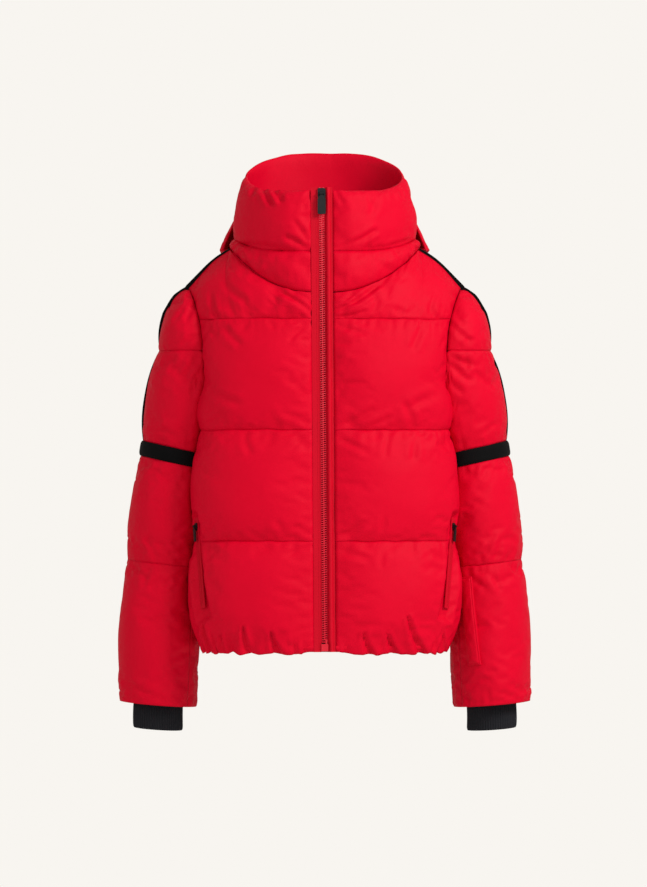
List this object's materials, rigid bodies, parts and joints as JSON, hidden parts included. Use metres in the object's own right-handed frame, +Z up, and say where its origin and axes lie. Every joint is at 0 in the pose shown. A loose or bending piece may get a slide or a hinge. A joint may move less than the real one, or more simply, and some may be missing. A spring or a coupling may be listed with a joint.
{
  "type": "ski jacket",
  "caption": "Quilted hip-length ski jacket with stand collar, hanging hood, full front zip, zipped hand pockets, knit inner cuffs and a forearm pass pocket.",
  "frame": {"origin": "bearing point under the middle of the hanger loop at the inside of the back neck, where the jacket hangs", "axes": "+Z up the back, +X towards the wearer's left, -Y out of the chest"},
  "size_m": [0.6242, 0.3294, 0.877],
  "materials": {
    "shell_fabric": "matte woven nylon, quilted",
    "lining_fabric": "smooth taffeta",
    "velvet": "black velvet ribbon",
    "knit": "rib knit",
    "zip_tape": "woven tape",
    "zip_plastic": "moulded",
    "zip_metal": "matte black"
  },
  "bodies": {
    "torso": {"front_left_hem": "shell_fabric", "front_left_waist": "shell_fabric", "front_left_chest": "shell_fabric", "front_left_yoke": "shell_fabric", "front_right_hem": "shell_fabric", "front_right_waist": "shell_fabric", "front_right_chest": "shell_fabric", "front_right_yoke": "shell_fabric", "back_hem": "shell_fabric", "back_waist": "shell_fabric", "back_chest": "shell_fabric", "back_yoke": "shell_fabric", "collar_left_lower": "shell_fabric", "collar_left_upper": "shell_fabric", "collar_right_lower": "shell_fabric", "collar_right_upper": "shell_fabric", "collar_back": "shell_fabric", "zip_retainer_box": "zip_plastic", "zip_insert_pin": "zip_plastic", "zip_tape_left": "zip_tape", "zip_tape_right": "zip_tape", "zip_chain_left": "zip_plastic", "zip_chain_right": "zip_plastic", "hem_binding": "shell_fabric", "torso_lining": "lining_fabric", "wind_flap": "zip_tape", "hanger_loop": "velvet", "left_sleeve_cap": "shell_fabric", "left_shoulder_stripe": "velvet", "left_pocket_zip": "zip_tape", "left_pocket_bag": "lining_fabric", "right_sleeve_cap": "shell_fabric", "right_shoulder_stripe": "velvet", "right_pocket_zip": "zip_tape", "right_pocket_bag": "lining_fabric"},
    "hood": {"hood_left_panel": "shell_fabric", "hood_center_panel": "shell_fabric", "hood_right_panel": "shell_fabric"},
    "front_slider": {"zip_slider": "zip_metal"},
    "front_pull": {"zip_pull": "zip_metal"},
    "left_arm": {"left_upper_baffle": "shell_fabric", "left_sleeve_stripe": "velvet", "left_arm_band": "velvet"},
    "left_forearm": {"left_elbow_baffle": "shell_fabric", "left_cuff_baffle": "shell_fabric", "left_cuff_lining": "lining_fabric", "left_knit_cuff": "knit", "left_pass_pocket_welt": "shell_fabric"},
    "left_pocket_slider": {"left_pocket_slider": "zip_metal"},
    "left_pocket_pull": {"left_pocket_pull": "zip_metal"},
    "right_arm": {"right_upper_baffle": "shell_fabric", "right_sleeve_stripe": "velvet", "right_arm_band": "velvet"},
    "right_forearm": {"right_elbow_baffle": "shell_fabric", "right_cuff_baffle": "shell_fabric", "right_cuff_lining": "lining_fabric", "right_knit_cuff": "knit"},
    "right_pocket_slider": {"right_pocket_slider": "zip_metal"},
    "right_pocket_pull": {"right_pocket_pull": "zip_metal"}
  },
  "joints": [
    {"name": "hood_raise", "type": "hinge", "parent": "torso", "child": "hood", "pos_m": [0, -0.0798, 0.058], "axis": [1, 0, 0], "range_deg": [0, 95]},
    {"name": "zip_slide", "type": "slide", "parent": "torso", "child": "front_slider", "axis": [0.0072, -0.0319, -0.9995], "range_m": [0, 0.64]},
    {"name": "zip_pull_swing", "type": "hinge", "parent": "front_slider", "child": "front_pull", "pos_m": [-0.00491, -0.197, 0.04546], "axis": [-1, -0.0001, -0.0072], "range_deg": [0, 150]},
    {"name": "left_shoulder", "type": "hinge", "parent": "torso", "child": "left_arm", "pos_m": [0.218, -0.0548, -0.242], "axis": [0, -1, 0], "range_deg": [0, 50], "deforming": ["left_upper_baffle", "left_sleeve_stripe"]},
    {"name": "left_elbow", "type": "hinge", "parent": "left_arm", "child": "left_forearm", "pos_m": [0.231, -0.0498, -0.425], "axis": [-0.9397, -0.342, 0], "range_deg": [0, 80], "deforming": ["left_elbow_baffle"]},
    {"name": "left_pocket_slide", "type": "slide", "parent": "torso", "child": "left_pocket_slider", "axis": [-0.08, -0.1688, -0.9824], "range_m": [0, 0.112]},
    {"name": "left_pocket_pull_swing", "type": "hinge", "parent": "left_pocket_slider", "child": "left_pocket_pull", "pos_m": [0.19495, -0.14517, -0.44818], "axis": [-0.4833, -0.8554, 0.1863], "range_deg": [0, 110]},
    {"name": "right_shoulder", "type": "hinge", "parent": "torso", "child": "right_arm", "pos_m": [-0.218, -0.0548, -0.242], "axis": [0, 1, 0], "range_deg": [0, 50], "deforming": ["right_upper_baffle", "right_sleeve_stripe"]},
    {"name": "right_elbow", "type": "hinge", "parent": "right_arm", "child": "right_forearm", "pos_m": [-0.231, -0.0498, -0.425], "axis": [-0.9397, 0.342, 0], "range_deg": [0, 80], "deforming": ["right_elbow_baffle"]},
    {"name": "right_pocket_slide", "type": "slide", "parent": "torso", "child": "right_pocket_slider", "axis": [0.08, -0.1688, -0.9824], "range_m": [0, 0.112]},
    {"name": "right_pocket_pull_swing", "type": "hinge", "parent": "right_pocket_slider", "child": "right_pocket_pull", "pos_m": [-0.19495, -0.14517, -0.44818], "axis": [-0.4833, 0.8554, -0.1863], "range_deg": [0, 110]}
  ]
}
